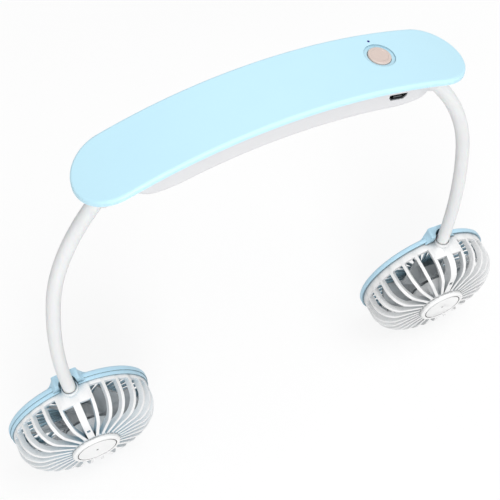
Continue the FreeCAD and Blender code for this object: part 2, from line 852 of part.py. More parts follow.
def arm_link(start, end, cup, ball):
    # Tube from start to end, with a cup round the ball before it and a ball for the cup after it
    tube_end = end - num("neck_reach") if ball else end
    shape = arm_pipe(start, tube_end, num("link_radius"))
    if cup:
        shape = shape.fuse(Part.makeSphere(num("cup_radius"), arm_point(start)))
    if ball:
        neck = arm_pipe(tube_end - num("neck_radius"), end, num("neck_radius"))
        shape = shape.fuse([neck, Part.makeSphere(num("ball_radius"), arm_point(end))])
    if cup:
        centre = arm_point(start)
        backward = heading(arm_angle(start)) * -1
        reach = num("cup_radius") * 1.5
        spread = reach * math.tan(math.radians(num("cup_opening")))
        hollow = Part.makeSphere(num("ball_radius") + num("ball_gap"), centre)
        opening = Part.makeCone(0, spread, reach, centre, backward)
        shape = shape.cut([hollow, opening])
    bore = arm_pipe(start - num("cup_radius") * 2, end + num("cup_radius") * 2, num("link_bore"))
    return shape.cut(bore).removeSplitter()


stem_end = arm_length + num("collar_bore_depth") - num("seat_gap")
add_shape("right_arm_anchor", arm_link(-num("anchor_length"), pivots["root"], False, True))
add_shape("right_arm_root_link", arm_link(pivots["root"], pivots["swing"], True, True))
add_shape("right_arm_spine", arm_link(pivots["swing"], pivots["turn"], True, True))
add_shape("right_arm_end_link", arm_link(pivots["turn"], pivots["tilt"], True, True))
add_shape("right_head_stem", arm_link(pivots["tilt"], stem_end, True, False))

sleeve_start = -num("ferrule_length")
sleeve_bore = num("sleeve_radius") - num("sleeve_wall")
sleeve_outside = arm_pipe(sleeve_start, stem_end, num("sleeve_radius"))
sleeve_inside = arm_pipe(sleeve_start - 1.0, stem_end + 1.0, sleeve_bore)
add_shape("right_arm_sleeve", sleeve_outside.cut(sleeve_inside))

# Rear cage: rim, thin deep ribs, one wide rib with the cable channel, hub cup and arm collar
cage = new_body("right_rear_cage", head_frame)
rim = dim("rim_radius")
rim_inner = rim - dim("rim_wall")
rib_pitch = as_size(360) / dim("rib_count")
cap_top = dim("cap_thickness")
cup_bore = dim("motor_radius") + dim("motor_gap")
hub_wall_middle = (dim("hub_radius") + cup_bore) / 2
floor_top = cap_top + dim("hub_floor")
sketch = new_sketch(cage, "XZ_Plane")
add_outline(sketch, [(rim_inner, dim("rim_start")), (rim, dim("rim_start")), (rim, dim("rim_end")),
                     (rim_inner, dim("rim_end"))])
revolve(cage, sketch)


def rib_outline(depth, inset, start):
    # Dome section: inset moves the outer line inwards, depth is the section's height from it
    bend = rim - dim("dome_round")
    side = dim("dome_height") + dim("dome_round")
    end = dim("rim_start") + dim("rim_wall") / 2
    near = cap_top + inset
    flat = dim("dome_height") + inset
    outer_round = dim("dome_round") - inset
    inner_round = outer_round - depth
    corners = [(start, near), (bend, flat), (rim - inset, side), (rim - inset, end),
               (rim - inset - depth, end), (rim - inset - depth, side), (bend, flat + depth),
               (start, near + depth)]
    return corners, {1: (outer_round, 1), 5: (inner_round, -1)}


sketch = new_sketch(cage, "YZ_Plane")
add_outline(sketch, *rib_outline(dim("wide_rib_depth"), as_size(0), hub_wall_middle))
pad(cage, sketch, dim("wide_rib_thickness"), symmetric=True)
sketch = new_sketch(cage, "YZ_Plane")
add_outline(sketch, [(rim_inner, dim("shoulder_start")), (rim, dim("shoulder_start")),
                     (rim, dim("rim_end")), (rim_inner, dim("rim_end"))])
revolve(cage, sketch, rib_pitch * 2)
sketch = new_sketch(cage, "XZ_Plane")
add_outline(sketch, [(0, cap_top), (dim("hub_radius"), cap_top), (dim("hub_radius"), dim("hub_wall_end")),
                     (cup_bore, dim("hub_wall_end")), (cup_bore, floor_top), (0, floor_top)])
revolve(cage, sketch)

collar_mouth = V(0, num("collar_reach"), num("collar_height"))
collar_in = V(0, -math.cos(rake), -math.sin(rake))
collar_frame = frame_at(collar_mouth, V(1, 0, 0), collar_in)
sketch = new_sketch(cage, "XY_Plane", collar_frame)
add_circle(sketch, 0, 0, dim("collar_radius"))
pad(cage, sketch, dim("collar_length"))
sketch = new_sketch(cage, "XY_Plane", collar_frame)
add_circle(sketch, 0, 0, dim("sleeve_radius") + dim("collar_mouth_gap"))
pocket(cage, sketch, dim("collar_mouth_depth"), reverse=True)
sketch = new_sketch(cage, "XY_Plane", collar_frame)
add_circle(sketch, 0, 0, dim("sleeve_radius") + dim("sleeve_gap"))
pocket(cage, sketch, dim("collar_bore_depth"), reverse=True)
sketch = new_sketch(cage, "XY_Plane", collar_frame)
add_circle(sketch, 0, 0, dim("collar_hole"))
pocket(cage, sketch, dim("collar_length") * 1.5, reverse=True)
sketch = new_sketch(cage, "YZ_Plane")
channel_inset = dim("wide_rib_depth") - dim("channel_depth")
add_outline(sketch, *rib_outline(dim("channel_depth") * 2, channel_inset, cup_bore - dim("channel_depth")))
pocket(cage, sketch, dim("channel_width"), symmetric=True)
sketch = new_sketch(cage, "XY_Plane")
add_rectangle(sketch, 0, dim("window_reach"), dim("channel_width"), dim("window_length"))
pocket(cage, sketch, symmetric=True)
sketch = new_sketch(cage, "XY_Plane")
for side in (1, -1):
    add_circle(sketch, dim("motor_screw_reach") * side, 0, dim("motor_screw_radius") + dim("screw_gap"))
pocket(cage, sketch, floor_top * 2, symmetric=True)
half_floor = FreeCAD.Placement(V(0, 0, (cap_top + dim("hub_floor") / 2).number), FreeCAD.Rotation())
sketch = new_sketch(cage, "XY_Plane", half_floor)
for side in (1, -1):
    add_circle(sketch, dim("motor_screw_reach") * side, 0, dim("motor_screw_head") + dim("screw_gap"))
pocket(cage, sketch, dim("hub_floor"))
first_rib = FreeCAD.Placement(V(0, 0, 0), FreeCAD.Rotation(V(0, 1, 0), rib_pitch.number))
sketch = new_sketch(cage, "YZ_Plane", first_rib)
add_outline(sketch, *rib_outline(dim("rib_depth"), as_size(0), hub_wall_middle))
rib = pad(cage, sketch, dim("rib_thickness"), symmetric=True)

# Rounded slot ends: a web with hollow corners where each rib meets the rim
web_reach = rim - dim("seat_gap") * 2
web_face = first_rib.multiply(FreeCAD.Placement(V(0, 0, -web_reach.number), FreeCAD.Rotation()))
sketch = new_sketch(cage, "XZ_Plane", web_face)
web_half = dim("rib_thickness") / 2 - dim("slot_sink")
web_wide = web_half + dim("slot_round")
web_top = dim("rim_start") + dim("rim_wall") / 2
web_turn_z = dim("rim_start") + dim("slot_sink")
web_low = web_turn_z - dim("slot_round")
add_outline(sketch, [(-web_wide, web_top), (-web_wide, web_turn_z), (-web_half, web_low), (web_half, web_low),
                     (web_wide, web_turn_z), (web_wide, web_top)],
            {1: (dim("slot_round"), -1), 3: (dim("slot_round"), -1)})
web = pad(cage, sketch, dim("rim_wall") - dim("seat_gap") * 4)
polar_pattern(cage, [rib, web], dim("rib_count") - 1, as_size(360) - rib_pitch * 2)

# Hub cap: raised white disc with a ring groove and a centre dimple
groove_in = dim("cap_groove_radius") - dim("cap_groove_width") / 2
groove_out = dim("cap_groove_radius") + dim("cap_groove_width") / 2
turned_body("right_hub_cap", head_frame, [
    (0, dim("cap_dimple_depth")), (dim("cap_dimple_radius"), dim("cap_dimple_depth")),
    (dim("cap_dimple_radius"), 0), (groove_in, 0), (groove_in, dim("cap_groove_depth")),
    (groove_out, dim("cap_groove_depth")), (groove_out, 0), (dim("hub_radius") - dim("cap_chamfer"), 0),
    (dim("hub_radius"), dim("cap_chamfer")), (dim("hub_radius"), cap_top), (0, cap_top)])

# Motor: can, bushes, armature and shaft on the fan axis
can_low = floor_top
can_top = can_low + dim("motor_length")
can_bore = dim("bush_radius")
wall = dim("motor_wall")
can = turned_body("right_motor_can", head_frame, [
    (can_bore, can_low), (dim("motor_radius"), can_low), (dim("motor_radius"), can_top), (can_bore, can_top),
    (can_bore, can_top - wall), (dim("motor_radius") - wall, can_top - wall),
    (dim("motor_radius") - wall, can_low + wall), (can_bore, can_low + wall)])
sketch = new_sketch(can, "XY_Plane")
for side in (1, -1):
    add_circle(sketch, dim("motor_screw_reach") * side, 0, dim("motor_screw_radius") + dim("screw_gap"))
pocket(can, sketch, (can_low + wall * 2) * 2, symmetric=True)


def tube(name, outside, inside, length, height):
    pieces = []
    for suffix, radius in (("_outside", outside), ("_inside", inside)):
        cylinder = doc.addObject("Part::Cylinder", name + suffix)
        cylinder.setExpression("Radius", radius.text)
        cylinder.setExpression("Height", length.text)
        cylinder.Placement = on_axis(height.number)
        pieces.append(cylinder)
    cut = doc.addObject("Part::Cut", name)
    cut.Base = pieces[0]
    cut.Tool = pieces[1]
    return cut


shaft_low = can_low + dim("seat_gap")
bush_bore = dim("shaft_radius") + dim("shaft_gap")
bushes = doc.addObject("Part::Compound", "right_motor_bushes")
bushes.Label = "right_motor_bushes"
bushes.Links = [tube("bush_rear", can_bore, bush_bore, dim("bush_length"), can_low),
                tube("bush_front", can_bore, bush_bore, dim("bush_length"), can_top - wall)]
sub_parts.append(bushes)

shaft = doc.addObject("Part::Cylinder", "right_motor_shaft")
shaft.Label = "right_motor_shaft"
shaft.setExpression("Radius", dim("shaft_radius").text)
shaft.setExpression("Height", dim("shaft_length").text)
shaft.Placement = on_axis(shaft_low.number)
sub_parts.append(shaft)

armature_low = (can_low + can_top) / 2 - dim("armature_length") / 2
armature = tube("right_motor_armature", dim("armature_radius"), dim("shaft_radius"), dim("armature_length"),
                armature_low)
armature.Label = "right_motor_armature"
sub_parts.append(armature)

screw_pieces = []
for side in (1, -1):
    spot = FreeCAD.Placement(V(side * num("motor_screw_reach"), 0, 0), FreeCAD.Rotation())
    head = doc.addObject("Part::Cylinder", "motor_screw_head")
    head.setExpression("Radius", dim("motor_screw_head").text)
    head.setExpression("Height", (dim("hub_floor") / 2 - dim("seat_gap")).text)
    head.Placement = on_axis((cap_top + dim("seat_gap")).number).multiply(spot)
    shank = doc.addObject("Part::Cylinder", "motor_screw_shank")
    shank.setExpression("Radius", dim("motor_screw_radius").text)
    shank.setExpression("Height", (dim("hub_floor") + wall - dim("seat_gap")).text)
    shank.Placement = on_axis((cap_top + dim("seat_gap")).number).multiply(spot)
    screw = doc.addObject("Part::Fuse", "motor_screw")
    screw.Base = head
    screw.Tool = shank
    screw_pieces.append(screw)
motor_screws = doc.addObject("Part::Compound", "right_motor_screws")
motor_screws.Label = "right_motor_screws"
motor_screws.Links = screw_pieces
sub_parts.append(motor_screws)

# Impeller: hub cup on the shaft and pitched blades
hub_out = dim("impeller_hub_radius")
hub_in = hub_out - dim("impeller_hub_wall")
hub_low = dim("impeller_hub_start")
hub_end = dim("impeller_hub_end")
hub_ceiling = hub_end - dim("impeller_hub_wall")
boss_low = can_top + dim("bush_length") - wall + dim("saddle_gap")
impeller = turned_body("right_impeller", head_frame, [
    (dim("shaft_radius"), boss_low), (dim("impeller_boss_radius"), boss_low),
    (dim("impeller_boss_radius"), hub_ceiling), (hub_in, hub_ceiling), (hub_in, hub_low), (hub_out, hub_low),
    (hub_out, hub_end - dim("cap_chamfer")), (hub_out - dim("cap_chamfer"), hub_end),
    (dim("shaft_radius"), hub_end)])


def blade_section(body, reach, chord, pitch):
    sketch = new_sketch(body, "YZ_Plane", FreeCAD.Placement(V(0, 0, reach.number), FreeCAD.Rotation()))
    run, rise = chord * cosine(pitch) / 2, chord * sine(pitch) / 2
    side, lift = dim("blade_thickness") * sine(pitch) / 2, dim("blade_thickness") * cosine(pitch) / 2
    middle = dim("blade_middle")
    add_outline(sketch, [(-run + side, middle - rise - lift), (run + side, middle + rise - lift),
                         (run - side, middle + rise + lift), (-run - side, middle - rise + lift)])
    return sketch


root_section = blade_section(impeller, dim("blade_root_reach"), dim("blade_root_chord"),
                             dim("blade_root_pitch"))
tip_section = blade_section(impeller, dim("blade_tip_reach"), dim("blade_tip_chord"), dim("blade_tip_pitch"))
blade = impeller.newObject("PartDesign::AdditiveLoft", "blade_loft")
blade.Profile = root_section
blade.Sections = [tip_section]
blade.Ruled = True
polar_pattern(impeller, [blade], dim("blade_count"))

# Front grille: blue ring, spokes, centre disc and the saddle that arches over the collar
skirt_in = rim + dim("skirt_gap")
skirt_out = skirt_in + dim("skirt_wall")
grille_in = dim("grille_inner_radius")
seat = dim("rim_end") + dim("seat_gap")
front = dim("grille_end")
edge = dim("grille_edge")
saddle_side = dim("saddle_half_width")
saddle_top = dim("saddle_reach")
saddle_low = skirt_in + dim("skirt_wall") / 2
saddle_end = front + dim("saddle_rise")
notch = dim("collar_radius") + dim("saddle_gap")
notch_drop = dim("rim_end")
saddle_frame = frame_at(collar_mouth - collar_in * num("collar_length"), V(1, 0, 0), collar_in)


def saddle_outline():
    # Plan of the saddle: a tongue that sweeps into the ring by a hollow arc on each side
    turn = dim("saddle_round")
    flare = dim("saddle_flare")
    flare_side = saddle_side + flare
    flare_low = root(saddle_low * saddle_low - flare_side * flare_side)
    horn_low = flare_low + flare
    corners = [(-flare_side, flare_low), (flare_side, flare_low), (saddle_side, horn_low),
               (saddle_side, saddle_top - turn), (saddle_side - turn, saddle_top),
               (turn - saddle_side, saddle_top), (-saddle_side, saddle_top - turn), (-saddle_side, horn_low)]
    return corners, {1: (flare, -1), 3: (turn, 1), 5: (turn, 1), 7: (flare, -1)}


def front_grille(label, skirted):
    grille = new_body(label, head_frame)
    profile = [(grille_in, seat)]
    if skirted:
        profile += [(skirt_in, seat), (skirt_in, dim("skirt_start")), (skirt_out, dim("skirt_start")),
                    (skirt_out, seat)]
    profile += [(dim("grille_radius"), seat), (dim("grille_radius"), front - edge),
                (dim("grille_radius") - edge, front), (grille_in, front)]
    sketch = new_sketch(grille, "XZ_Plane")
    add_outline(sketch, profile)
    revolve(grille, sketch)

    # Saddle: below the seat it stays outside the rim, above it covers the ring
    corners, arcs = saddle_outline()
    low_level = FreeCAD.Placement(V(0, 0, num("saddle_start")), FreeCAD.Rotation())
    sketch = new_sketch(grille, "XY_Plane", low_level)
    add_outline(sketch, corners, {0: (saddle_low, -1), **arcs})
    pad(grille, sketch, front - edge - dim("saddle_start"))
    seat_level = FreeCAD.Placement(V(0, 0, seat.number), FreeCAD.Rotation())
    sketch = new_sketch(grille, "XY_Plane", seat_level)
    add_outline(sketch, corners, arcs)
    pad(grille, sketch, saddle_end - seat)

    # Its front falls to the ring in a wave on each side
    wave = dim("saddle_wave")
    rise = dim("saddle_rise")
    half_run = root(wave * rise - rise * rise / 4)
    crest = saddle_side - half_run / 2
    above = saddle_end + rise
    for side in (1, -1):
        sketch = new_sketch(grille, "XZ_Plane")
        add_outline(sketch, [
            (crest * side, saddle_end), ((crest + half_run) * side, saddle_end - rise / 2),
            ((crest + half_run * 2) * side, front), (saddle_top * side, front), (saddle_top * side, above),
            (crest * side, above)], {0: (wave, -side), 1: (wave, side)})
        pocket(grille, sketch, saddle_top * 2, reverse=False)

    sketch = new_sketch(grille, "XY_Plane", saddle_frame)
    add_outline(sketch, [(-notch, 0), (-notch, -notch_drop), (notch, -notch_drop), (notch, 0), (0, notch)],
                {3: (notch, 1), 4: (notch, 1)})
    pocket(grille, sketch, dim("collar_length") * 2 + dim("rim_wall"), reverse=True)

    spoke_low = front - dim("spoke_depth")
    disc = dim("grille_disc_radius")
    spoke_in = disc - dim("spoke_width")
    spoke_out = grille_in + dim("spoke_width") / 2
    sketch = new_sketch(grille, "XZ_Plane")
    add_outline(sketch, [(spoke_in, spoke_low), (spoke_out, spoke_low), (spoke_out, front - edge / 2),
                         (spoke_in, front - edge / 2)])
    spoke = pad(grille, sketch, dim("spoke_width"), symmetric=True)
    polar_pattern(grille, [spoke], dim("spoke_count"))
    sketch = new_sketch(grille, "XZ_Plane")
    add_outline(sketch, [(0, spoke_low), (disc, spoke_low), (disc, front - edge / 2), (0, front - edge / 2)])
    revolve(grille, sketch)
    return grille


# The left ring has a skirt over the rim; the right one ends at its lip
front_grille("right_front_grille", False)
skirted_grille = front_grille("skirted_grille", True)
sub_parts.remove(skirted_grille)


# Motor cable: from the control board through the arm and down the channel of the wide rib
def rounded_edges(points):
    # Straight runs joined by tangent arcs as large as their runs allow
    edges = []
    start = points[0]
    for before, corner, after in zip(points[:-2], points[1:-1], points[2:]):
        incoming = (corner - before).normalize()
        outgoing = (after - corner).normalize()
        half_turn = incoming.getAngle(outgoing) / 2
        reach = 0.45 * min((corner - before).Length, (after - corner).Length)
        first = corner - incoming * reach
        last = corner + outgoing * reach
        radius = reach / math.tan(half_turn)
        inward = (outgoing - incoming).normalize()
        middle = corner + inward * (radius / math.cos(half_turn) - radius)
        print("cable radius", round(radius, 1))
        edges.append(Part.makeLine(start, first))
        edges.append(Part.Arc(first, middle, last).toShape())
        start = last
    edges.append(Part.makeLine(start, points[-1]))
    return edges


channel_reach = (rim - dim("wide_rib_depth") + dim("channel_depth") / 2).number
channel_bend = (rim - dim("dome_round")).number
channel_side = (dim("dome_height") + dim("dome_round")).number
channel_round = channel_reach - channel_bend
collar_run = (num("collar_reach") - channel_reach) / math.cos(rake)
slant = channel_round * math.sqrt(0.5)
nose_inside = arm_point(-num("nose_length"))
cavity_inside = arm_point(-num("nose_length") - num("cable_run"))
channel_top = in_head(0, channel_reach, channel_side)
channel_low = in_head(0, channel_bend, channel_side - channel_round)
channel_middle = in_head(0, channel_bend + slant, channel_side - slant)
cable_end = in_head(0, num("motor_radius") + num("seat_gap"), channel_side - channel_round)


def motor_cable(band_points):
    edges = rounded_edges(band_points + [cavity_inside, nose_inside])
    edges += arm_edges(-num("nose_length"), arm_length)
    edges += rounded_edges([mouth, arm_point(arm_length + collar_run), channel_top])
    edges.append(Part.Arc(channel_top, channel_middle, channel_low).toShape())
    edges.append(Part.makeLine(channel_low, cable_end))
    return pipe(edges, num("cable_radius"))


board_face = board_top.number - num("cable_radius") - num("seat_gap")
board_end = num("board_length") / 2
board_side = num("board_width") / 2
right_run = [(num("board_along") + board_end - 4.6, board_side - 4.6, board_face),
             (num("board_along") + board_end - 1.8, board_side - 5.8, board_face - 0.7)]
add_shape("right_motor_cable", motor_cable([on_controls(*spot).Base for spot in right_run]))


def lead_point(share, gap, rise):
    # A share of the cavity's half span, a gap to its far wall and a rise above the arch of its floor
    along = cavity_x * share
    floor_z = arch_height(inner_radius + dim("housing_floor"), along)
    return V(along.number, num("housing_half_width") - num("housing_wall") - gap, floor_z.number + rise)


# The left lead passes the battery on the far side; its points are written for the mirrored arm
left_start = on_controls(num("board_along") - board_end + 2.3, board_side - 1.2, board_face).Base
left_route = [(-0.49, 1.3, 4.7), (-0.175, 1.4, 3.4), (0.175, 1.4, 3.2), (0.49, 1.4, 3.3), (0.737, 3.5, 3.5),
              (0.86, 6.7, 5.2)]
left_run = [V(-left_start.x, left_start.y, left_start.z)] + [lead_point(*spot) for spot in left_route]
left_cable = motor_cable(left_run).mirror(V(0, 0, 0), V(1, 0, 0))
add_shape("left_motor_cable", left_cable)

# Left arm and head: mirror images of the right ones
for part in [part for part in sub_parts if part.Label.startswith("right_")]:
    if part.Label == "right_motor_cable":
        continue
    label = part.Label.replace("right_", "left_")
    image = doc.addObject("Part::Mirroring", label)
    image.Label = label
    image.Source = skirted_grille if label == "left_front_grille" else part
    image.Base = V(0, 0, 0)
    image.Normal = V(1, 0, 0)
    sub_parts.append(image)

doc.recompute()
failed = [item.Label for item in doc.Objects if "Invalid" in item.State or "Error" in item.State]
if failed:
    raise RuntimeError("failed objects: " + ", ".join(failed))
for part in sub_parts:
    if part.Shape.isNull() or not part.Shape.isValid() or part.Shape.Volume <= 0:
        raise RuntimeError("bad shape: " + part.Label)

os.makedirs("parts", exist_ok=True)
for part in sub_parts:
    part.Shape.exportStep(os.path.join("parts", part.Label + ".step"))
print(len(sub_parts), "sub-parts written")
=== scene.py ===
import math

import bmesh
import bpy
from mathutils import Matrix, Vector


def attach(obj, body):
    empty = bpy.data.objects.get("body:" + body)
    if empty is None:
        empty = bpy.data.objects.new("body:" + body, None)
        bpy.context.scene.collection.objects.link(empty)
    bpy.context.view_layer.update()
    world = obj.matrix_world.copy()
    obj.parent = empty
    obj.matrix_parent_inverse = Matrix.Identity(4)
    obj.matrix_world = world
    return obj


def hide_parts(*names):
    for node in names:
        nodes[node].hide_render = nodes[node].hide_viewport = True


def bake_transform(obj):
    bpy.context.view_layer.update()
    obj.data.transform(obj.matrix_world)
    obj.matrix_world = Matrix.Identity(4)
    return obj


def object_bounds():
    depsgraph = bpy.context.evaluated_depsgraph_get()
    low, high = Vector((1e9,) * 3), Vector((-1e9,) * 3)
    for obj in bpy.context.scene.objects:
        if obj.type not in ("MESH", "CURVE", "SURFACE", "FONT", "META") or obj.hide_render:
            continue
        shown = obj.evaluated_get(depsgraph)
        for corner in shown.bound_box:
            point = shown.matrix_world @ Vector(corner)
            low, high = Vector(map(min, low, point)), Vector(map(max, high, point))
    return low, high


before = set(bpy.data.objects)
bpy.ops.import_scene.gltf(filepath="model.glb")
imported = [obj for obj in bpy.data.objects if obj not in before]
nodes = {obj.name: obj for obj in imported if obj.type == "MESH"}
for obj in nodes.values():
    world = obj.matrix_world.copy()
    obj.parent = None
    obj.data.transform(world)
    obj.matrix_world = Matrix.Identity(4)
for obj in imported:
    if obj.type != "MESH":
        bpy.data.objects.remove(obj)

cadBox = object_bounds()
scene = bpy.context.scene
mm = 0.001
sides = (("right", 1), ("left", -1))


def addObject(name, data):
    thing = bpy.data.objects.new(name, data)
    scene.collection.objects.link(thing)
    return thing


def aim(thing, direction):
    # cameras and lamps look along their own -Z
    thing.rotation_mode = "QUATERNION"
    thing.rotation_quaternion = direction.to_track_quat("-Z", "Y")


# camera at the photo's view: eye and sensor in mm, angles in degrees, clip in metres
photoView = {"eye": (-128.6, -253.2, 309.4), "azimuth": -25.0, "elevation": 54.57,
             "lens": 79.2, "sensor": 36.0, "clip": (0.01, 30.0)}


def placeCamera(view):
    turn, rise = math.radians(view["azimuth"]), math.radians(view["elevation"])
    back = Vector((math.sin(turn) * math.cos(rise), -math.cos(turn) * math.cos(rise), math.sin(rise)))
    lens = bpy.data.cameras.new("photoCamera")
    lens.lens, lens.sensor_width = view["lens"], view["sensor"]
    lens.clip_start, lens.clip_end = view["clip"]
    camera = addObject("photoCamera", lens)
    camera.location = Vector(view["eye"]) * mm
    aim(camera, -back)
    scene.camera = camera


placeCamera(photoView)
print("camera at the photo's view")


# colours are written as sRGB hex and turned to linear here
def linear(code):
    parts = [int(code[place:place + 2], 16) / 255 for place in (1, 3, 5)]
    return tuple(p / 12.92 if p <= 0.04045 else ((p + 0.055) / 1.055) ** 2.4 for p in parts) + (1.0,)


def addNode(tree, kind, settings=None, inputs=None):
    node = tree.nodes.new(kind)
    for name, value in (settings or {}).items():
        setattr(node, name, value)
    for name, value in (inputs or {}).items():
        if isinstance(value, bpy.types.NodeSocket):
            tree.links.new(value, node.inputs[name])
        else:
            node.inputs[name].default_value = value
    return node


# a colour mix node has the same socket names for each kind of data, so its colour sockets go by number
colourMix = {"data_type": "RGBA"}
mixShare, mixFirst, mixSecond, mixResult = 0, 6, 7, 2


def perMm(size):
    return 1.0 / (size * mm)  # texture scale for a pattern of that size


def newMaterial(name):
    material = bpy.data.materials.new(name)
    material.use_nodes = True
    material.node_tree.nodes.clear()
    return material, material.node_tree


def paintedShade(tone, reachMm=1.6, opens=0.62, shuts=0.12, share=0.85):
    # painted shade: a darker tone that comes in where other walls stand within reach
    return {"tone": tone, "reachMm": reachMm, "opens": opens, "shuts": shuts, "share": share}


# moulded plastics and rubbers: mottle is the slow drift of colour, grain the tool texture, edge the paler rim,
# a painted highlight (on the board also its real straw-coloured core), and the shade tones the painted shade in
# grooves and between walls; real tool texture is about 0.05 mm, too fine to show, so the grain is drawn coarser
# painted shade, near black, deep in slots and narrow grooves
paintedSlotShade = paintedShade("#1E2326", 1.6, 0.55, 0.15, 1.0)
# ABS, moulded satin: pale blue with a broad soft highlight along the arch, a painted highlight on its rims and
# painted shade by its edges and recesses
absCover = {"name": "absMouldedCoverBlue", "colour": "#C8F0FE", "mottle": "#C4ECFC", "edge": "#D4F5FF",
            "mottleMm": 22.0, "grainMm": 0.45, "grainDepth": 0.006, "rough": (0.40, 0.50), "edgeMm": 0.5,
            "ior": 1.53, "glow": 0.0, "hollows": (paintedShade("#86A9B8", 2.6, 0.93, 0.45, 0.8),)}
# ABS, moulded a little glossier: a thin painted highlight on the ring's rim, painted dark shade where the ring
# meets the cage, and deeper painted shade inside the ring and its saddle
absRing = {"name": "absMouldedRingBlue", "colour": "#C0E4F6", "mottle": "#BADFF2", "edge": "#D0EEFA",
           "mottleMm": 14.0, "grainMm": 0.40, "grainDepth": 0.006, "rough": (0.34, 0.44), "edgeMm": 0.4,
           "ior": 1.53, "glow": 0.0,
           "hollows": (paintedShade("#2F4C5A", 1.0, 0.9, 0.45, 0.95), paintedShade("#3F5D6B", 30.0, 0.76, 0.38, 0.92))}
# ABS, moulded nearly glossy: clean white ribs with painted grey shade between them and painted dark shade in
# the slots
absWhite = {"name": "absMouldedWhite", "colour": "#F4F4F4", "mottle": "#F0F0F0", "edge": "#FAFAFA",
            "mottleMm": 16.0, "grainMm": 0.40, "grainDepth": 0.004, "rough": (0.28, 0.38), "edgeMm": 0.4,
            "ior": 1.53, "glow": 0.0, "hollows": (paintedShade("#8E979C", 10.0, 0.84, 0.4, 0.85), paintedSlotShade)}
# the same ABS on the left cage: the painted shade between the ribs is tinted blue, a painted reflection of the
# blue ring
absCage = dict(absWhite, name="absMouldedCageWhite",
               hollows=(paintedShade("#83ABBE", 10.0, 0.84, 0.4, 0.85), paintedSlotShade))
# the same ABS on the hub caps, painted a shade brighter than the ribs, with dark painted shade in the groove
# and the dot
absHub = dict(absWhite, name="absMouldedHubWhite", colour="#FAFAFA",
              hollows=(paintedShade("#1A1E20", 2.0, 0.8, 0.45, 1.0),))
# the same ABS on the housing, painted greyer than the arms as painted shade under the cover's overhang, with
# painted shade in its hollows too
absWall = dict(absWhite, name="absMouldedHousingWhite", colour="#E2E2E4", mottle="#DEDEE0", edge="#EEEEEE",
               hollows=(paintedShade("#A9AEB2", 7.0, 0.8, 0.35, 0.6), paintedSlotShade))
# the looks below also take a painted highlight on their edges (the board's straw edge is its real core) and
# painted shade in their crevices
# silicone rubber, moulded: dull white that light soaks into, with no hard highlight
silicone = {"name": "siliconeMouldedWhite", "colour": "#EDEDED", "mottle": "#E8E8E9", "edge": "#F2F2F2",
            "mottleMm": 9.0, "grainMm": 0.30, "grainDepth": 0.005, "rough": (0.46, 0.56), "edgeMm": 0.3,
            "ior": 1.41, "glow": 0.08, "hollows": (paintedShade("#B9BDC0"),)}
# ABS, sprayed with rose-beige lacquer: a soft warm sheen
lacquer = {"name": "absLacqueredRose", "colour": "#DDCBC2", "mottle": "#D7C5BC", "edge": "#E7D8D1",
           "mottleMm": 3.0, "grainMm": 0.25, "grainDepth": 0.003, "rough": (0.30, 0.40), "edgeMm": 0.25,
           "ior": 1.50, "glow": 0.0, "hollows": (paintedShade("#8E7A71"),)}
# nylon, moulded: dry dull black
nylon = {"name": "nylonMouldedBlack", "colour": "#1B1B1C", "mottle": "#222224", "edge": "#3A3A3C",
         "mottleMm": 3.0, "grainMm": 0.20, "grainDepth": 0.004, "rough": (0.45, 0.6), "edgeMm": 0.15,
         "ior": 1.53, "glow": 0.0, "hollows": (paintedShade("#0C0C0D"),)}
# fibreglass board, coated with solder mask: glossy green, straw-coloured at the cut edge
solderMask = {"name": "fibreglassCoatedGreen", "colour": "#1C6A3C", "mottle": "#175C33", "edge": "#C8BC8A",
              "mottleMm": 2.0, "grainMm": 0.5, "grainDepth": 0.004, "rough": (0.28, 0.4), "edgeMm": 0.15,
              "ior": 1.5, "glow": 0.0, "hollows": (paintedShade("#0E3A20"),)}
# polyethylene foam, cut: dark and matt with open cells
foam = {"name": "polyethyleneFoamCutGrey", "colour": "#3A3A3C", "mottle": "#2E2E30", "edge": "#4A4A4C",
        "mottleMm": 1.5, "grainMm": 0.6, "grainDepth": 0.06, "rough": (0.8, 0.95), "edgeMm": 0.3,
        "ior": 1.45, "glow": 0.0, "hollows": (paintedShade("#1C1C1E"),)}
# PVC, extruded over the wire: smooth soft black
pvcWire = {"name": "pvcExtrudedBlack", "colour": "#1E1E20", "mottle": "#18181A", "edge": "#303032",
           "mottleMm": 2.0, "grainMm": 0.2, "grainDepth": 0.003, "rough": (0.35, 0.45), "edgeMm": 0.1,
           "ior": 1.52, "glow": 0.0, "hollows": (paintedShade("#0A0A0A"),)}
# shared by them all: the painted highlight on a rim starts to show, and shows in full, at these agreements of
# rounded and plain normal
moulded = {"mottleDetail": 3.0, "mottleRough": 0.5, "rimSamples": 4, "rimStarts": 0.995, "rimFull": 0.90,
           "rimShare": 0.6, "hollowSamples": 6, "grainDetail": 2.0, "grainStrength": 0.5, "glowReachMm": 2.0}


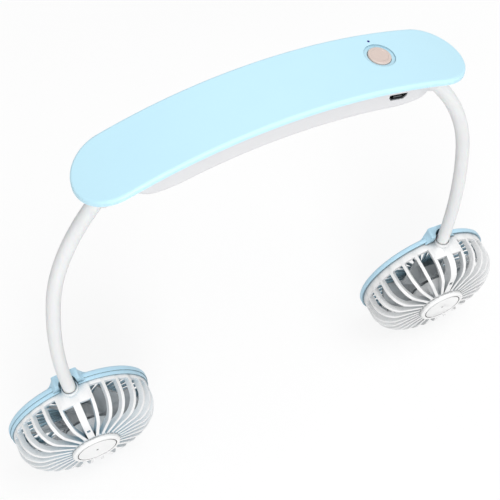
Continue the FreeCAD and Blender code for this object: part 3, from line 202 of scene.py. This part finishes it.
def mouldedFinish(look):
    # satin skin with a fine tool texture, a faint drift of colour, paler edges (a painted highlight, and the
    # board's real cut-core colour) and painted shade in the hollows
    material, tree = newMaterial(look["name"])
    place = addNode(tree, "ShaderNodeTexCoord").outputs["Object"]
    drift = addNode(tree, "ShaderNodeTexNoise", inputs={
        "Vector": place, "Scale": perMm(look["mottleMm"]), "Detail": moulded["mottleDetail"],
        "Roughness": moulded["mottleRough"]})
    body = addNode(tree, "ShaderNodeMix", colourMix, {
        mixShare: drift.outputs["Fac"], mixFirst: linear(look["colour"]), mixSecond: linear(look["mottle"])})
    # painted highlight: the edge tint comes in where the rounded normal parts from the plain one
    rounded = addNode(tree, "ShaderNodeBevel", {"samples": moulded["rimSamples"]}, {
        "Radius": look["edgeMm"] * mm})
    plain = addNode(tree, "ShaderNodeNewGeometry")
    agree = addNode(tree, "ShaderNodeVectorMath", {"operation": "DOT_PRODUCT"}, {
        0: rounded.outputs["Normal"], 1: plain.outputs["Normal"]})
    highlightShare = addNode(tree, "ShaderNodeMapRange", inputs={
        "Value": agree.outputs["Value"], "From Min": moulded["rimStarts"], "From Max": moulded["rimFull"],
        "To Min": 0.0, "To Max": moulded["rimShare"]})
    colour = addNode(tree, "ShaderNodeMix", colourMix, {
        mixShare: highlightShare.outputs["Result"], mixFirst: body.outputs[mixResult], mixSecond: linear(look["edge"])})
    # painted shade: each tone darkens the colour where ambient occlusion finds walls within its reach
    for dip in look["hollows"]:
        shut = addNode(tree, "ShaderNodeAmbientOcclusion", {"samples": moulded["hollowSamples"]}, {
            "Distance": dip["reachMm"] * mm})
        dull = addNode(tree, "ShaderNodeMapRange", inputs={
            "Value": shut.outputs["AO"], "From Min": dip["opens"], "From Max": dip["shuts"],
            "To Min": 0.0, "To Max": dip["share"]})
        colour = addNode(tree, "ShaderNodeMix", colourMix, {
            mixShare: dull.outputs["Result"], mixFirst: colour.outputs[mixResult],
            mixSecond: linear(dip["tone"])})
    grain = addNode(tree, "ShaderNodeTexNoise", inputs={
        "Vector": place, "Scale": perMm(look["grainMm"]), "Detail": moulded["grainDetail"]})
    gloss = addNode(tree, "ShaderNodeMapRange", inputs={
        "Value": grain.outputs["Fac"], "To Min": look["rough"][0], "To Max": look["rough"][1]})
    bump = addNode(tree, "ShaderNodeBump", inputs={
        "Height": grain.outputs["Fac"], "Strength": moulded["grainStrength"],
        "Distance": look["grainDepth"] * mm})
    skin = addNode(tree, "ShaderNodeBsdfPrincipled", inputs={
        "Base Color": colour.outputs[mixResult], "Roughness": gloss.outputs["Result"],
        "Normal": bump.outputs["Normal"], "IOR": look["ior"], "Subsurface Weight": look["glow"],
        "Subsurface Scale": moulded["glowReachMm"] * mm})
    addNode(tree, "ShaderNodeOutputMaterial", inputs={"Surface": skin.outputs["BSDF"]})
    return material


# metals: streakMm is the spacing of the marks, drawn coarser than real ones so that they show, and stretch
# squeezes or spreads them along each axis
# steel, drawn: bright, with fine streaks that soften its reflections
drawnSteel = {"name": "steelDrawn", "colour": "#B9BABD", "streak": "#9EA0A3", "streakMm": 0.25,
              "rough": (0.24, 0.4), "stretch": (1.0, 1.0, 9.0)}
# steel sheet, nickel plated: a dark mirror with faint rolling marks, painted darker than bright nickel as
# painted shade inside the socket's slot
nickel = {"name": "steelNickelPlated", "colour": "#6A6B6E", "streak": "#525356", "streakMm": 0.3,
          "rough": (0.3, 0.45), "stretch": (1.0, 1.0, 6.0)}
# bronze, sintered: warm and dull, speckled with pores
bronze = {"name": "bronzeSintered", "colour": "#B08A52", "streak": "#8E6C3D", "streakMm": 0.3,
          "rough": (0.4, 0.55), "stretch": (1.0, 1.0, 1.0)}
# iron sheets, stacked: dark with fine lines between the sheets
coreIron = {"name": "ironLaminated", "colour": "#4C4D50", "streak": "#2F3032", "streakMm": 0.5,
            "rough": (0.4, 0.55), "stretch": (0.2, 1.0, 1.0)}
# aluminium foil, pressed round the cell: bright with broad creases
cellFoil = {"name": "aluminiumFoilPressed", "colour": "#C7C9CC", "streak": "#AEB0B4", "streakMm": 2.5,
            "rough": (0.3, 0.42), "stretch": (1.0, 1.0, 1.0)}
metal = {"markDetail": 4.0, "markStrength": 0.3, "markDepthMm": 0.01}


def metalFinish(look):
    # fine marks break the reflection into soft streaks
    material, tree = newMaterial(look["name"])
    place = addNode(tree, "ShaderNodeTexCoord").outputs["Object"]
    pulled = addNode(tree, "ShaderNodeMapping", inputs={"Vector": place, "Scale": look["stretch"]})
    marks = addNode(tree, "ShaderNodeTexNoise", inputs={
        "Vector": pulled.outputs["Vector"], "Scale": perMm(look["streakMm"]), "Detail": metal["markDetail"]})
    colour = addNode(tree, "ShaderNodeMix", colourMix, {
        mixShare: marks.outputs["Fac"], mixFirst: linear(look["colour"]), mixSecond: linear(look["streak"])})
    gloss = addNode(tree, "ShaderNodeMapRange", inputs={
        "Value": marks.outputs["Fac"], "To Min": look["rough"][0], "To Max": look["rough"][1]})
    bump = addNode(tree, "ShaderNodeBump", inputs={
        "Height": marks.outputs["Fac"], "Strength": metal["markStrength"],
        "Distance": metal["markDepthMm"] * mm})
    skin = addNode(tree, "ShaderNodeBsdfPrincipled", inputs={
        "Base Color": colour.outputs[mixResult], "Metallic": 1.0, "Roughness": gloss.outputs["Result"],
        "Normal": bump.outputs["Normal"]})
    addNode(tree, "ShaderNodeOutputMaterial", inputs={"Surface": skin.outputs["BSDF"]})
    return material


# clear plastics: pass is how much light goes straight through, flowMm the spacing of the flow lines
# polycarbonate, moulded and smoked: light grey that shows what lies behind it
smokeClear = {"name": "polycarbonateMouldedSmoke", "colour": "#D2D6D8", "mottle": "#C6CBCE", "pass": 0.6,
              "rough": 0.2, "flowMm": 12.0, "ior": 1.58}
# acrylic, moulded and polished: a small dark blue spot with a sharp glint
lampClear = {"name": "acrylicPolishedBlue", "colour": "#1A2A9C", "mottle": "#142288", "pass": 0.2,
             "rough": 0.12, "flowMm": 1.0, "ior": 1.49}
clear = {"flowDetail": 2.0, "flowWarp": 0.6, "flowStrength": 0.2, "flowDepthMm": 0.02}


def clearFinish(look):
    # tinted clear moulding with faint flow lines that shift its shade
    material, tree = newMaterial(look["name"])
    place = addNode(tree, "ShaderNodeTexCoord").outputs["Object"]
    flow = addNode(tree, "ShaderNodeTexNoise", inputs={
        "Vector": place, "Scale": perMm(look["flowMm"]), "Detail": clear["flowDetail"],
        "Distortion": clear["flowWarp"]})
    colour = addNode(tree, "ShaderNodeMix", colourMix, {
        mixShare: flow.outputs["Fac"], mixFirst: linear(look["colour"]), mixSecond: linear(look["mottle"])})
    bump = addNode(tree, "ShaderNodeBump", inputs={
        "Height": flow.outputs["Fac"], "Strength": clear["flowStrength"],
        "Distance": clear["flowDepthMm"] * mm})
    skin = addNode(tree, "ShaderNodeBsdfPrincipled", inputs={
        "Base Color": colour.outputs[mixResult], "Roughness": look["rough"], "IOR": look["ior"],
        "Transmission Weight": look["pass"], "Normal": bump.outputs["Normal"]})
    addNode(tree, "ShaderNodeOutputMaterial", inputs={"Surface": skin.outputs["BSDF"]})
    return material


coverBlue, ringBlue, shellWhite = mouldedFinish(absCover), mouldedFinish(absRing), mouldedFinish(absWhite)
cageBlueShade, hubWhite, wallWhite = mouldedFinish(absCage), mouldedFinish(absHub), mouldedFinish(absWall)
sleeveWhite, buttonRose, wireBlack = mouldedFinish(silicone), mouldedFinish(lacquer), mouldedFinish(pvcWire)
switchBlack, boardGreen, foamGrey = mouldedFinish(nylon), mouldedFinish(solderMask), mouldedFinish(foam)
steel, socketNickel, bushBronze = metalFinish(drawnSteel), metalFinish(nickel), metalFinish(bronze)
armatureIron, pouchFoil = metalFinish(coreIron), metalFinish(cellFoil)
smoke, lampBlue = clearFinish(smokeClear), clearFinish(lampClear)

# which finish each solid takes, the same on both sides but for the left cage
finishes = {
    "outer_cover": coverBlue, "inner_housing": wallWhite, "housing_screws": steel, "power_button": buttonRose,
    "control_board": boardGreen, "tact_switch": switchBlack, "usb_socket": socketNickel,
    "lamp_chip": switchBlack, "lamp_pipe": lampBlue, "battery_cell": pouchFoil, "battery_pad": foamGrey,
    "ferrule": wallWhite, "arm_anchor": steel, "arm_root_link": steel, "arm_spine": steel,
    "arm_end_link": steel, "head_stem": steel, "arm_sleeve": sleeveWhite, "rear_cage": shellWhite,
    "left_rear_cage": cageBlueShade, "hub_cap": hubWhite, "motor_can": steel, "motor_bushes": bushBronze,
    "motor_shaft": steel, "motor_armature": armatureIron, "motor_screws": steel, "impeller": smoke,
    "front_grille": ringBlue, "motor_cable": wireBlack}


def plainName(name):
    return name.replace("right_", "").replace("left_", "")


for name, solid in nodes.items():
    solid.data.materials.clear()
    solid.data.materials.append(finishes.get(name, finishes[plainName(name)]))
print("finishes on", len(nodes), "solids")


# moulded edges are eased by this many mm
easedEdges = {"power_button": 0.12, "ferrule": 0.2, "rear_cage": 0.3, "hub_cap": 0.1, "front_grille": 0.25,
              "impeller": 0.15, "usb_socket": 0.08}
# facets that lie flat are joined first so that the easing runs clean, angles in degrees
easing = {"weldMm": 0.002, "flatAngle": 0.4, "cornerAngle": 32.0, "segments": 2}

for name, solid in nodes.items():
    ease = easedEdges.get(plainName(name))
    if ease is None:
        continue
    weld = solid.modifiers.new("weld", "WELD")
    weld.merge_threshold = easing["weldMm"] * mm
    flat = solid.modifiers.new("facets", "DECIMATE")
    flat.decimate_type = "DISSOLVE"
    flat.angle_limit = math.radians(easing["flatAngle"])
    bevel = solid.modifiers.new("ease", "BEVEL")
    bevel.width = ease * mm
    bevel.segments = easing["segments"]
    bevel.limit_method = "ANGLE"
    bevel.angle_limit = math.radians(easing["cornerAngle"])
    bevel.harden_normals = True
print("eased edges on", sum(plainName(name) in easedEdges for name in nodes), "solids")


# arm line in mm and degrees: straight in the nose, two arcs, straight in the collar
armLine = {"root": (71.8, 2.2, -15.3), "lean": 1.6, "exit": 50.0, "upperRadius": 120.0, "upperTurn": 30.5,
           "lowerRadius": 300.0, "lowerTurn": 14.41, "collarDepth": 3.95, "noseDepth": 8.0}

lean = math.radians(armLine["lean"])
armUp = Vector((0, -math.sin(lean), math.cos(lean)))
armOut = Vector((1, 0, 0))
armFront = armUp.cross(armOut)
upperLength = armLine["upperRadius"] * math.radians(armLine["upperTurn"])
armLength = upperLength + armLine["lowerRadius"] * math.radians(armLine["lowerTurn"])


def armHeading(angle):
    return armOut * math.cos(angle) - armUp * math.sin(angle)


def armArc(radius, first, last):
    return (armOut * (math.sin(last) - math.sin(first)) + armUp * (math.cos(last) - math.cos(first))) * radius


def armPoint(station):
    # place and heading on the right arm's line, in mm
    start = math.radians(armLine["exit"])
    elbow = start + math.radians(armLine["upperTurn"])
    end = elbow + math.radians(armLine["lowerTurn"])
    root = Vector(armLine["root"])
    if station <= 0:
        return root + armHeading(start) * station, armHeading(start)
    if station <= upperLength:
        angle = start + station / armLine["upperRadius"]
        return root + armArc(armLine["upperRadius"], start, angle), armHeading(angle)
    elbowSpot = root + armArc(armLine["upperRadius"], start, elbow)
    if station <= armLength:
        angle = elbow + (station - upperLength) / armLine["lowerRadius"]
        return elbowSpot + armArc(armLine["lowerRadius"], elbow, angle), armHeading(angle)
    mouth = elbowSpot + armArc(armLine["lowerRadius"], elbow, end)
    return mouth + armHeading(end) * (station - armLength), armHeading(end)


def sided(point, side):
    return Vector((point.x * side, point.y, point.z)) * mm


# soft sleeve in mm: its pivots lie pivotIn from the arm's ends and pivotGap apart, and a bend reaches this far
# each side of its pivot
sleeve = {"outside": 3.1, "inside": 2.6, "around": 48, "ringMm": 0.75,
          "pivotIn": 10.0, "pivotGap": 12.0, "reach": 6.0}

rootPivot, swingPivot = sleeve["pivotIn"], sleeve["pivotIn"] + sleeve["pivotGap"]
turnPivot, tiltPivot = armLength - swingPivot, armLength - rootPivot
# stretch of the arm, the two bodies it bends between (one if it stays stiff) and the pivot of the bend
stretches = [
    ("root", -armLine["noseDepth"], rootPivot + sleeve["reach"], ("neck_band", "root_link"), rootPivot),
    ("swing", rootPivot + sleeve["reach"], swingPivot + sleeve["reach"], ("root_link", "arm"), swingPivot),
    ("middle", swingPivot + sleeve["reach"], turnPivot - sleeve["reach"], ("arm",), None),
    ("turn", turnPivot - sleeve["reach"], turnPivot + sleeve["reach"], ("arm", "end_link"), turnPivot),
    ("tilt", tiltPivot - sleeve["reach"], armLength + armLine["collarDepth"], ("end_link", "fan_head"),
     tiltPivot)]
lastStretch = len(stretches) - 1


def bodyName(short, sideName):
    return short if short == "neck_band" else sideName + "_" + short


def holdStretch(piece, bodies, pivot, sideName):
    if pivot is None:
        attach(piece, bodyName(bodies[0], sideName))
        return
    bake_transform(piece)


def smoothPiece(name, mesh, material):
    for face in mesh.faces:
        face.smooth = True
    data = bpy.data.meshes.new(name)
    mesh.to_mesh(data)
    mesh.free()
    data.materials.append(material)
    return addObject(name, data)


def joinRings(mesh, first, second):
    around = len(first)
    for k in range(around):
        mesh.faces.new((first[k], first[(k + 1) % around], second[(k + 1) % around], second[k]))


def sleeveStretch(name, start, end, side, openStart, openEnd):
    # tube wall between two stations; only the sleeve's own two ends are closed
    steps = max(2, round((end - start) / sleeve["ringMm"]))
    mesh = bmesh.new()
    walls = []
    for radius in (sleeve["outside"], sleeve["inside"]):
        rings = []
        for step in range(steps + 1):
            spot, heading = armPoint(start + (end - start) * step / steps)
            across = armFront.cross(heading)
            ring = []
            for k in range(sleeve["around"]):
                turn = 2 * math.pi * k / sleeve["around"]
                ring.append(mesh.verts.new(sided(
                    spot + (armFront * math.cos(turn) + across * math.sin(turn)) * radius, side)))
            rings.append(ring)
        walls.append(rings)
    for rings in walls:
        for first, second in zip(rings[:-1], rings[1:]):
            joinRings(mesh, first, second)
    outer, inner = walls
    if not openStart:
        joinRings(mesh, outer[0], inner[0])
    if not openEnd:
        joinRings(mesh, outer[-1], inner[-1])
    bmesh.ops.recalc_face_normals(mesh, faces=mesh.faces)
    return smoothPiece(name, mesh, sleeveWhite)


for sideName, side in sides:
    for index, (label, start, end, bodies, pivot) in enumerate(stretches):
        piece = sleeveStretch(sideName + "_sleeve_" + label, start, end, side, index > 0, index < lastStretch)
        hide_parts(sideName + "_arm_sleeve")
        holdStretch(piece, bodies, pivot, sideName)
print("sleeves:", len(stretches), "stretches a side")


# motor cable in mm: a bend gets a ring of points every cutMm
cable = {"weldMm": 0.002, "cutMm": 1.0}


def cutAcross(mesh, station, side, dropBefore=False, dropAfter=False):
    spot, heading = armPoint(station)
    bmesh.ops.bisect_plane(mesh, geom=mesh.verts[:] + mesh.edges[:] + mesh.faces[:],
                           plane_co=sided(spot, side), plane_no=sided(heading, side) / mm,
                           clear_inner=dropBefore, clear_outer=dropAfter)


def cableStretch(name, source, start, end, side, cuts):
    # the wire between two stations of the arm, with rings added where it has to bend
    mesh = bmesh.new()
    mesh.from_mesh(source.data)
    bmesh.ops.remove_doubles(mesh, verts=mesh.verts, dist=cable["weldMm"] * mm)
    if start is not None:
        cutAcross(mesh, start, side, dropBefore=True)
    if end is not None:
        cutAcross(mesh, end, side, dropAfter=True)
    for station in cuts:
        cutAcross(mesh, station, side)
    return smoothPiece(name, mesh, wireBlack)


for sideName, side in sides:
    for index, (label, start, end, bodies, pivot) in enumerate(stretches):
        cuts = []
        if pivot is not None:
            cuts = [pivot - sleeve["reach"] + (step + 0.5) * cable["cutMm"]
                    for step in range(int(2 * sleeve["reach"] / cable["cutMm"]))]
        piece = cableStretch(sideName + "_cable_" + label, nodes[sideName + "_motor_cable"],
                             start if index > 0 else None, end if index < lastStretch else None, side, cuts)
        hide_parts(sideName + "_motor_cable")
        holdStretch(piece, bodies, pivot, sideName)
print("cables:", len(stretches), "stretches a side")


# pale floor just under the heads, a soft box in front, one above and a weak one behind, and an even white
# surround; floor and lamps in metres and watts, floorSeen and floorWhite only for rays that see the floor
studio = {"floorDropMm": 0.4, "floorHalf": 6.0, "floorColour": "#CDCDCD", "floorSeen": "#FFFFFF",
          "floorWhite": 0.8, "fibreMm": 1.2, "fibreDetail": 3.0, "floorRough": (0.85, 0.95),
          "floorSpecular": 0.1, "surround": 0.45, "surroundSeen": 1.0, "surroundColour": "#FFFFFF",
          "lamps": ({"name": "frontBox", "spot": (-0.5, -1.5, 0.72), "size": 0.9, "power": 18.0},
                    {"name": "topBox", "spot": (0.6, -0.4, 1.6), "size": 1.2, "power": 12.5},
                    {"name": "backBox", "spot": (0.3, 1.5, 0.8), "size": 1.0, "power": 2.0})}


def seenRays(tree):
    # one where the camera sees the surface, straight, mirrored or through clear plastic
    rays = addNode(tree, "ShaderNodeLightPath")
    seen = addNode(tree, "ShaderNodeMath", {"operation": "MAXIMUM"}, {
        0: rays.outputs["Is Camera Ray"], 1: rays.outputs["Is Glossy Ray"]})
    return addNode(tree, "ShaderNodeMath", {"operation": "MAXIMUM"}, {
        0: seen.outputs["Value"], 1: rays.outputs["Is Transmission Ray"]}).outputs["Value"]


def layFloor(plan):
    half, level = plan["floorHalf"], cadBox[0].z - plan["floorDropMm"] * mm
    data = bpy.data.meshes.new("floor")
    data.from_pydata([(-half, -half, level), (half, -half, level), (half, half, level), (-half, half, level)],
                     [], [(0, 1, 2, 3)])
    # paper, rolled matt: a faint fibre and no highlight
    material, tree = newMaterial("paperRolledWhite")
    place = addNode(tree, "ShaderNodeTexCoord").outputs["Object"]
    fibre = addNode(tree, "ShaderNodeTexNoise", inputs={
        "Vector": place, "Scale": perMm(plan["fibreMm"]), "Detail": plan["fibreDetail"]})
    gloss = addNode(tree, "ShaderNodeMapRange", inputs={
        "Value": fibre.outputs["Fac"], "To Min": plan["floorRough"][0], "To Max": plan["floorRough"][1]})
    seen = seenRays(tree)
    colour = addNode(tree, "ShaderNodeMix", colourMix, {
        mixShare: seen, mixFirst: linear(plan["floorColour"]), mixSecond: linear(plan["floorSeen"])})
    skin = addNode(tree, "ShaderNodeBsdfPrincipled", inputs={
        "Base Color": colour.outputs[mixResult], "Roughness": gloss.outputs["Result"],
        "Specular IOR Level": plan["floorSpecular"]})
    white = addNode(tree, "ShaderNodeEmission", inputs={"Strength": 1.0})
    share = addNode(tree, "ShaderNodeMath", {"operation": "MULTIPLY"}, {0: seen, 1: plan["floorWhite"]})
    paper = addNode(tree, "ShaderNodeMixShader", inputs={
        0: share.outputs["Value"], 1: skin.outputs["BSDF"], 2: white.outputs["Emission"]})
    addNode(tree, "ShaderNodeOutputMaterial", inputs={"Surface": paper.outputs["Shader"]})
    data.materials.append(material)
    floor = addObject("floor", data)


def hangLamps(plan):
    centre = (cadBox[0] + cadBox[1]) / 2
    for box in plan["lamps"]:
        data = bpy.data.lights.new(box["name"], "AREA")
        data.shape, data.size, data.energy = "SQUARE", box["size"], box["power"]
        lamp = addObject(box["name"], data)
        lamp.location = Vector(box["spot"])
        aim(lamp, centre - lamp.location)


def hangSurround(plan):
    world = bpy.data.worlds.new("surround")
    world.use_nodes = True
    tree = world.node_tree
    tree.nodes.clear()
    level = addNode(tree, "ShaderNodeMapRange", inputs={
        "Value": seenRays(tree), "To Min": plan["surround"], "To Max": plan["surroundSeen"]})
    light = addNode(tree, "ShaderNodeBackground", inputs={
        "Color": linear(plan["surroundColour"]), "Strength": level.outputs["Result"]})
    addNode(tree, "ShaderNodeOutputWorld", inputs={"Surface": light.outputs["Background"]})
    scene.world = world


layFloor(studio)
hangLamps(studio)
hangSurround(studio)
scene.view_settings.view_transform = "Standard"
print("studio set")
